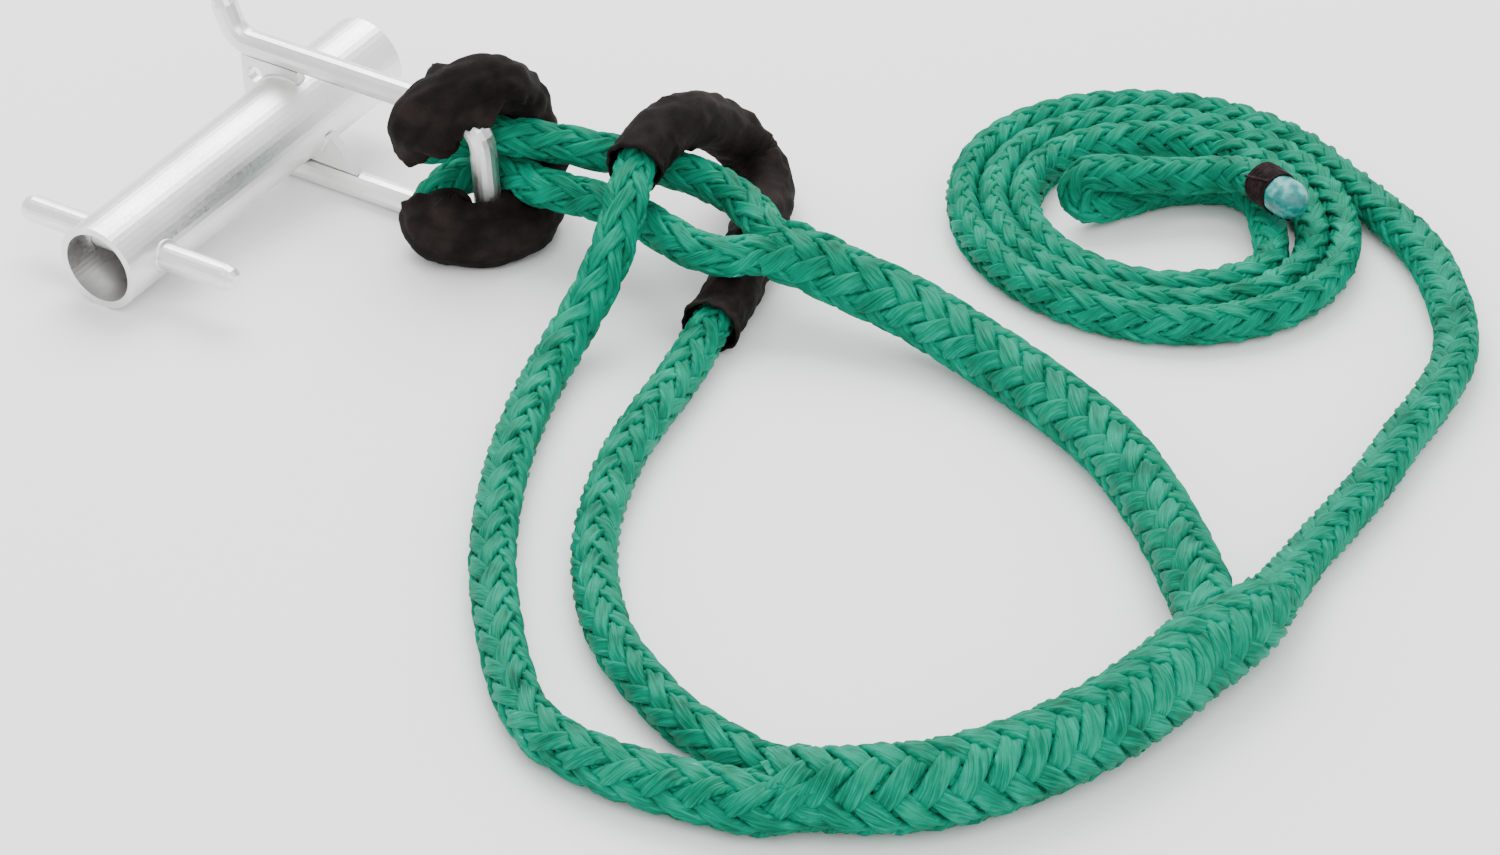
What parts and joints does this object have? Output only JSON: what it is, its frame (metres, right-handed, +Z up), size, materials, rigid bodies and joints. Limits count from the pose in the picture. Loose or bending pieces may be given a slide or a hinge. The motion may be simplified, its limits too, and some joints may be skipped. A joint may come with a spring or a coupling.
{
  "type": "rope sling with friction lowering bollard",
  "caption": "Adjustable hollow-braid rope sling with fabric sleeves, hitched to the ring of a tubular friction lowering bollard, its free tail coiled.",
  "frame": {"origin": "on the floor, under the middle of the bollard", "axes": "+Z up; +Y along the bollard's barrel towards its raised end; +X along the ring's legs towards the sling"},
  "size_m": [0.6494, 0.6189, 0.098],
  "materials": {
    "satin_steel": "satin, pale",
    "green_braid": "coated 12-strand braid",
    "black_sleeve": "matt woven sleeve",
    "black_whipping": "waxed whipping twine",
    "teal_dip": "dipped rope end, satin"
  },
  "bodies": {
    "bollard": {"barrel_tube": "satin_steel", "cleat_pin": "satin_steel", "ring_bar": "satin_steel", "horn_gusset": "satin_steel", "leg_gusset": "satin_steel"},
    "sling": {"eye_strands": "green_braid", "eye_sleeve": "black_sleeve", "fixed_splice_braid": "green_braid", "fixed_splice_core": "green_braid", "adjustable_bury_braid": "green_braid", "adjustable_bury_core": "green_braid", "loop_rope": "green_braid", "loop_sleeve": "black_sleeve", "tail_rope": "green_braid", "tail_coil": "green_braid", "tail_end_rope": "green_braid", "tail_whipping": "black_whipping", "tail_dipped_end": "teal_dip"}
  },
  "joints": [
    {"name": "sling_swing", "type": "hinge", "parent": "bollard", "child": "sling", "pos_m": [0.08407, 0.04406, 0.037], "axis": [0, 0, 1], "range_deg": [-5, 40]}
  ]
}
